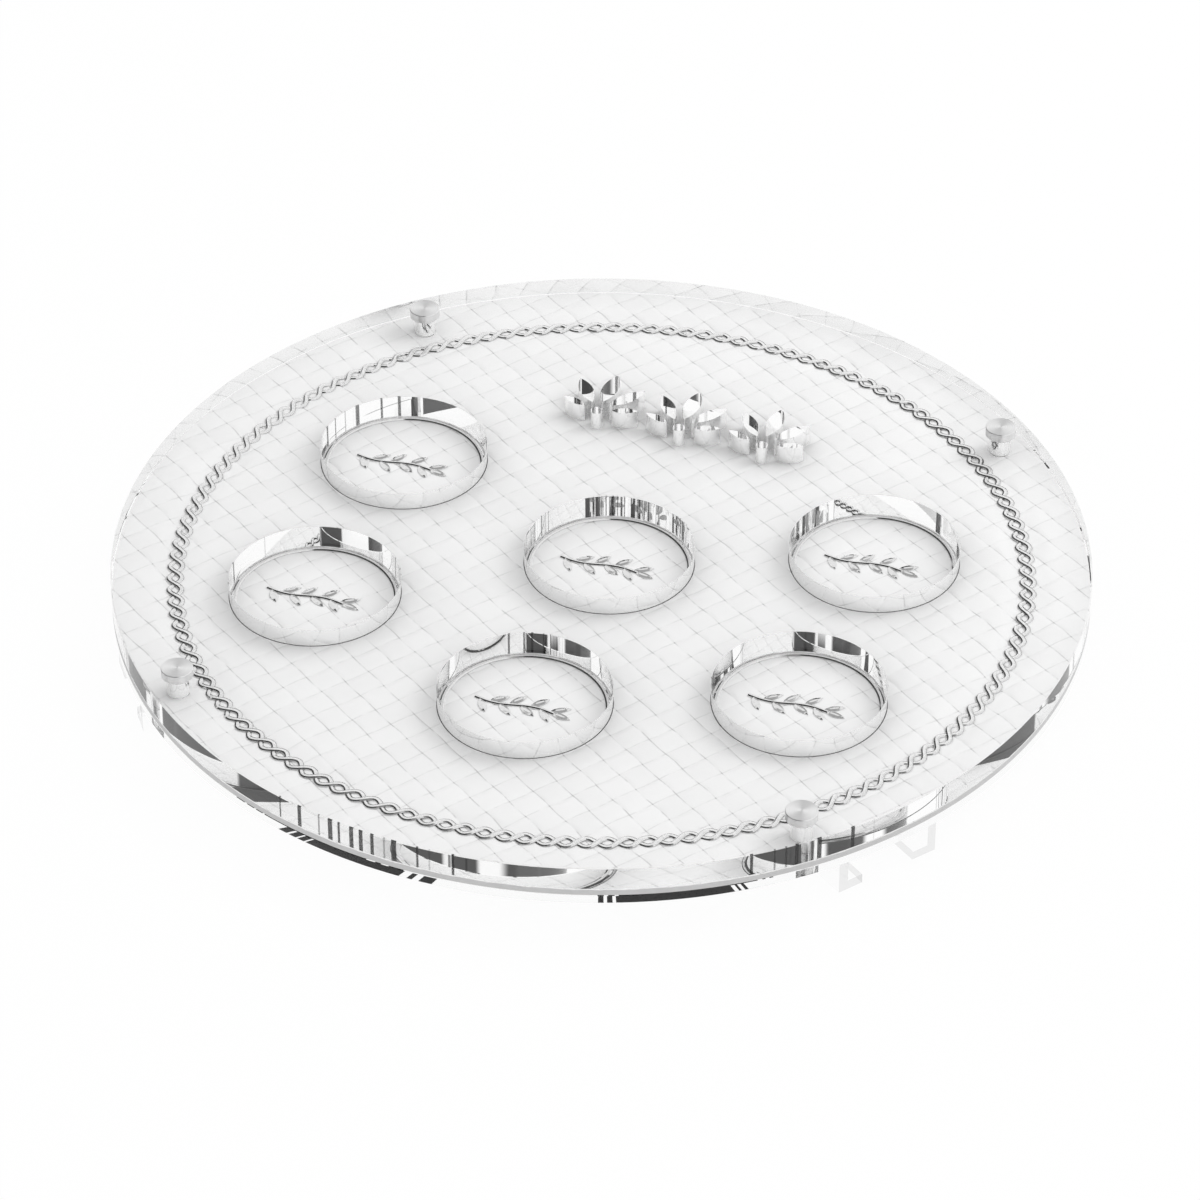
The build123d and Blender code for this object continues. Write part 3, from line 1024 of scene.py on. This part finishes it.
def buildNut(corner):
    centre = capCentres[corner]
    low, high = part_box(f"standoff_nut_{corner}")
    flat, bore, steps = standoff["nutFlat"], standoff["nutBore"], standoff["nutSteps"]
    face = flat - standoff["nutFaceInset"]
    reach = [flat / cos((tau * step / steps) % (pi / 3) - pi / 6) for step in range(steps)]
    drop = [(radius - flat) * standoff["nutSlope"] + standoff["nutDrop"] for radius in reach]
    bm = bmesh.new()
    rows = [polarRow(bm, centre, spots) for spots in (
        [(bore, low.z)] * steps,
        [(face, low.z)] * steps,
        [(radius, low.z + fall) for radius, fall in zip(reach, drop)],
        [(radius, high.z - fall) for radius, fall in zip(reach, drop)],
        [(face, high.z)] * steps,
        [(bore, high.z)] * steps,
    )]
    skin(bm, rows + rows[:1])
    bmesh.ops.recalc_face_normals(bm, faces=bm.faces)
    layer = bm.loops.layers.uv.new("turning")
    for side in bm.faces:
        for loop in side.loops:
            spot = loop.vert.co - centre
            loop[layer].uv = (atan2(spot.y, spot.x) / tau, hypot(spot.x, spot.y) + loop.vert.co.z)
    piece = meshFrom(f"standoffNut_{corner}", bm, turnedMetal)
    settle(piece, "root", "brushed_metal", f"standoff_nut_{corner}")


def buildWasher(corner):
    low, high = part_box(f"standoff_washer_{corner}")
    outer, ease = (high.x - low.x) / 2, standoff["washerEase"]
    profile = [(shankHole, low.z), (outer - ease, low.z), (outer, low.z + ease), (outer, high.z - ease),
               (outer - ease, high.z), (shankHole, high.z)]
    name, steps = f"standoffWasher_{corner}", standoff["capSteps"]
    piece = lathe(name, capCentres[corner], profile, steps, clearWasher, closed=True)
    settle(piece, f"washer_{corner}", "clear_washer", f"standoff_washer_{corner}")


for corner in corners:
    buildCap(corner)
    buildStud(corner)
    buildNut(corner)
    buildWasher(corner)

# Feet: strips of clear sheet bonded into facing L shapes, one pair under each quarter
feet = {
    "angle": radians(36.0),
    "endRadius": plateRadius - 2.3 * mm,
    "length": 40.0 * mm,
    "pairWidth": 44.0 * mm,
    "lipWidth": 10.6 * mm,
    "sheet": 4.0 * mm,
    "topGap": 0.02 * mm,           # film of cement under the base plate
    "bevel": 0.2 * mm,
}


def addAngle(bm, sawn, near, far, side):
    # the outline of one L, drawn across the strip, and its two ends
    out, top, sheet = feet["pairWidth"] / 2, baseBottom - feet["topGap"], feet["sheet"]
    wallIn, lipIn = out - sheet, out - feet["lipWidth"]
    outline = [(out, 0.0), (out, top), (wallIn, top), (wallIn, sheet), (lipIn, sheet), (lipIn, 0.0)]
    ends = [[bm.verts.new((x, side * y, z)) for y, z in outline] for x in (near, far)]
    endFaces, sides = [bm.faces.new(end) for end in ends], skin(bm, ends)
    lipEdge = sides[4]
    for face in (*endFaces, lipEdge):
        face[sawn] = 1
    faces = endFaces + sides
    bmesh.ops.recalc_face_normals(bm, faces=faces)
    edges = list({edge for face in faces for edge in face.edges})
    bmesh.ops.bevel(bm, geom=edges, offset=feet["bevel"], segments=1, affect="EDGES")


def buildFeet():
    # one pair lies along +X from the centre, and the tree sets four of them round the plate
    far, near = feet["endRadius"], feet["endRadius"] - feet["length"]
    bm = bmesh.new()
    sawn = bm.faces.layers.int.new("sawn")
    for side in (-1, 1):
        addAngle(bm, sawn, near, far, side)
    pair = meshFrom("footPair", bm)
    values = {"Pair": pair, "Angle": feet["angle"], "Finish": acrylicStrip, "Edge Finish": acrylicSawn}
    tree, start = newTree("footPairs", values)
    index = make(tree, "GeometryNodeInputIndex")
    # quarters in turn: angle, 180 - angle, 180 + angle, -angle
    odd = calc("MODULO", index, 2.0)
    half = calc("FLOOR", index * 0.5)
    turn = half * pi + (odd * pi + start["Angle"] * (1.0 - odd * 2.0))
    rotation = make(tree, "FunctionNodeAxisAngleToRotation", {"Axis": (0.0, 0.0, 1.0), "Angle": turn})
    shape = outputsOf(tree, "GeometryNodeObjectInfo", {"Object": start["Pair"]})["Geometry"]
    pairs = make(tree, "GeometryNodeInstanceOnPoints", {
        "Points": start["Geometry"], "Instance": shape, "Rotation": rotation})
    real = make(tree, "GeometryNodeRealizeInstances", {"Geometry": pairs})
    cutFaces = make(tree, "GeometryNodeInputNamedAttribute", {"Name": "sawn"}, data_type="INT")
    setMaterials(tree, start, real, cutFaces)
    piece = growPiece("feet", tree, [(0, 0, 0)] * len(corners), values)
    bpy.data.objects.remove(pair)
    nodes = [f"foot_{part}_{corner}_{side}"
             for part in ("lip", "wall") for corner in corners for side in "ab"]
    settle(piece, "root", "clear_acrylic", *nodes)


buildFeet()

# Studio: white floor and surround, soft light from above, dark flags that only shine and glass can see
studio = {
    "fill": 0.87,
    "keyPower": 8.0,
    "keyPlace": (0.9, 0.8, 1.3),
    "keySize": 0.9,
    "floorSize": 8.0,
    "floorLevel": -0.2 * mm,
    "floorColour": grey(0.9),
    "floorRoughness": 0.9,
    "floorWhite": 0.97,            # share of the floor's white that no shadow darkens
    "curveSteps": 24,              # along each side of a flag or card
    "flagShade": 0.06,
    "flagReach": 15.0,
    # clear surfaces passed before a flag is met, seen from outside the sheets, through them or under them
    "surfaces": {"outside": (0, 0), "through": (1, 2), "under": (3, 99)},
    # each flag: bearing from straight behind the plate, and height, in degrees, with the soft edges of both
    "flags": (
        {"bearing": (-2.0, 42.0), "height": (27.0, 80.0), "soft": (1.5, 1.0), "seen": "through"},
        {"bearing": (-17.5, 2.0), "height": (37.2, 80.0), "soft": (4.0, 0.5), "seen": "through"},
        {"bearing": (-41.0, -23.7), "height": (37.7, 80.0), "soft": (2.5, 0.4), "seen": "through"},
        {"bearing": (-215.0, -46.0), "height": (0.5, 91.0), "soft": (8.0, 1.0)},
        {"bearing": (-60.0, -33.0), "height": (1.0, 26.0), "soft": (3.0, 4.0)},
        {"bearing": (-80.0, -30.0), "height": (2.0, 55.0), "soft": (6.0, 4.0), "seen": "under"},
        {"bearing": (68.0, 252.0), "height": (70.0, 91.0), "soft": (8.0, 1.0), "shade": 0.25},
        {"bearing": (-45.0, 5.0), "height": (46.0, 88.0), "soft": (8.0, 5.0), "shade": 0.45,
         "seen": "outside"},
        {"bearing": (-45.0, 5.0), "height": (1.0, 29.0), "soft": (8.0, 5.0), "shade": 0.45,
         "seen": "outside"},
    ),
    # narrow flags lower down, seen only through the sheet's many mirrorings: (bearing, width)
    "strips": ((-41.0, 1.2), (-36.5, 2.4), (-31.0, 0.8), (-25.5, 1.0), (-21.0, 3.0), (-14.0, 0.9),
               (-9.5, 1.6), (-4.0, 1.0), (3.0, 3.4), (9.0, 0.9), (14.5, 1.6), (21.0, 1.0)),
    "stripHeight": (14.0, 27.0),
    "stripSoft": (0.3, 1.0),
    # dark cards on the floor, seen only through the base plate's edge: (from, to) in degrees round the plate
    "cards": ((240.5, 241.9), (242.3, 243.5), (243.8, 244.9), (245.2, 260.2), (261.4, 262.2), (263.2, 265.2),
              (289.4, 290.2), (290.7, 291.5), (292.0, 309.2), (309.8, 310.2), (310.7, 311.2)),
    "cardRadii": (60.0 * mm, 178.0 * mm),
    "cardLevel": 0.1 * mm,
    "cardColour": grey(0.02),
    "cardRoughness": 0.8,
}


def inSight(tree):
    # 1 for what the camera sees, also in shine and through glass
    rays = outputsOf(tree, "ShaderNodeLightPath")
    bent = calc("MAXIMUM", rays["Is Glossy Ray"], rays["Is Transmission Ray"])
    return calc("MAXIMUM", rays["Is Camera Ray"], bent)


def buildWorld():
    world = bpy.data.worlds.new("studio")
    scene.world = world
    world.use_nodes = True
    tree = world.node_tree
    tree.nodes.clear()
    white = make(tree, "ShaderNodeBackground", {0: grey(1.0), 1: 1.0})
    fill = make(tree, "ShaderNodeBackground", {0: grey(1.0), 1: studio["fill"]})
    addNode(tree, "ShaderNodeOutputWorld", {0: mixShader(inSight(tree), fill, white)})


def buildFloor():
    bm = bmesh.new()
    bmesh.ops.create_grid(bm, x_segments=2, y_segments=2, size=studio["floorSize"] / 2)
    for vert in bm.verts:
        vert.co.z = studio["floorLevel"]
    material, tree, shader, _ = newMaterial("paleFloor")
    setInputs(shader, {"Base Color": studio["floorColour"], "Roughness": studio["floorRoughness"],
                       "Specular IOR Level": 0.0})
    glow = make(tree, "ShaderNodeEmission", {0: grey(1.0), 1: 1.0})
    share = inSight(tree) * studio["floorWhite"]
    showInstead(tree, mixShader(share, NodeValue(shader.outputs[0]), glow))
    floor = meshFrom("floor", bm, material)


def turnsOver(span):
    steps, (low, high) = studio["curveSteps"], span
    return [radians(low + (high - low) * step / steps) for step in range(steps + 1)]


def addPatch(name, material, rows):
    # a curved patch through rows of points, which only shine and glass can see
    bm = bmesh.new()
    skin(bm, [[bm.verts.new(point) for point in row] for row in rows], around=False)
    piece = meshFrom(name, bm, material)
    piece.visible_camera = False
    piece.visible_diffuse = False
    piece.visible_shadow = False


def flagMaterial(number, flag):
    material, tree, _, place = newMaterial(f"darkFlag{number}")
    x, y, z = splitXYZ(place)
    middle = sum(flag["bearing"]) / 2
    fromMiddle = calc("DEGREES", calc("ARCTAN2", x, y)) - middle
    bearing = calc("WRAP", fromMiddle, 180.0, -180.0) + middle
    height = calc("DEGREES", calc("ARCTAN2", z, calc("SQRT", x * x + y * y)))
    cover = 1.0
    for value, span, soft in zip((bearing, height), (flag["bearing"], flag["height"]), flag["soft"]):
        low, high = span
        cover = ramp(value, low, low + soft) * cover * ramp(value, high - soft, high, 1.0, 0.0)
    if "seen" in flag:
        fewest, most = studio["surfaces"][flag["seen"]]
        passed = outputsOf(tree, "ShaderNodeLightPath")["Transmission Depth"]
        cover = cover * calc("GREATER_THAN", passed, fewest - 0.5) * calc("LESS_THAN", passed, most + 0.5)
    dark = make(tree, "ShaderNodeEmission", {0: grey(flag.get("shade", studio["flagShade"])), 1: 1.0})
    clear = make(tree, "ShaderNodeBsdfTransparent")
    showInstead(tree, mixShader(cover, clear, dark))
    return material


def buildFlags():
    reach, flags = studio["flagReach"], list(studio["flags"])
    for bearing, width in studio["strips"]:
        flags.append({"bearing": (bearing - width / 2, bearing + width / 2), "height": studio["stripHeight"],
                      "soft": studio["stripSoft"], "seen": "through"})
    for number, flag in enumerate(flags):
        turns, levels = turnsOver(flag["bearing"]), turnsOver(flag["height"])
        rows = [[(reach * sin(turn) * cos(level), reach * cos(turn) * cos(level), reach * sin(level))
                 for turn in turns] for level in levels]
        addPatch(f"flag{number}", flagMaterial(number, flag), rows)


def buildCards():
    material, _, shader, _ = newMaterial("darkCard")
    setInputs(shader, {"Base Color": studio["cardColour"], "Roughness": studio["cardRoughness"]})
    for number, span in enumerate(studio["cards"]):
        rows = [[(radius * cos(turn), radius * sin(turn), studio["cardLevel"])
                 for radius in studio["cardRadii"]] for turn in turnsOver(span)]
        addPatch(f"card{number}", material, rows)


def aim(held, direction):
    held.rotation_mode = "QUATERNION"
    held.rotation_quaternion = direction.to_track_quat("-Z", "Y")


def buildLamp():
    lamp = bpy.data.lights.new("key", "AREA")
    lamp.shape = "DISK"
    lamp.size = studio["keySize"]
    lamp.energy = studio["keyPower"]
    held = bpy.data.objects.new("key", lamp)
    held.location = studio["keyPlace"]
    aim(held, -Vector(studio["keyPlace"]))
    held.visible_glossy = False
    held.visible_transmission = False
    scene.collection.objects.link(held)


buildWorld()
buildFloor()
buildFlags()
buildCards()
buildLamp()
print("studio done")

# Camera, from the photograph's viewing angle
view = {
    "azimuth": radians(19.896),
    "elevation": radians(37.372),
    "target": (10.0 * mm, -29.22 * mm, topFace),
    "distance": 2034.57 * mm,
    "lens": 159.24,
    "sensor": 36.0,
    "clip": (0.05, 50.0),
}


def buildCamera():
    data = bpy.data.cameras.new("camera")
    data.lens = view["lens"]
    data.sensor_width = view["sensor"]
    data.clip_start, data.clip_end = view["clip"]
    camera = bpy.data.objects.new("camera", data)
    flat = cos(view["elevation"])
    back = Vector((sin(view["azimuth"]) * flat, -cos(view["azimuth"]) * flat, sin(view["elevation"])))
    camera.location = Vector(view["target"]) + back * view["distance"]
    aim(camera, -back)
    scene.collection.objects.link(camera)
    scene.camera = camera


buildCamera()
scene.view_settings.view_transform = "Standard"
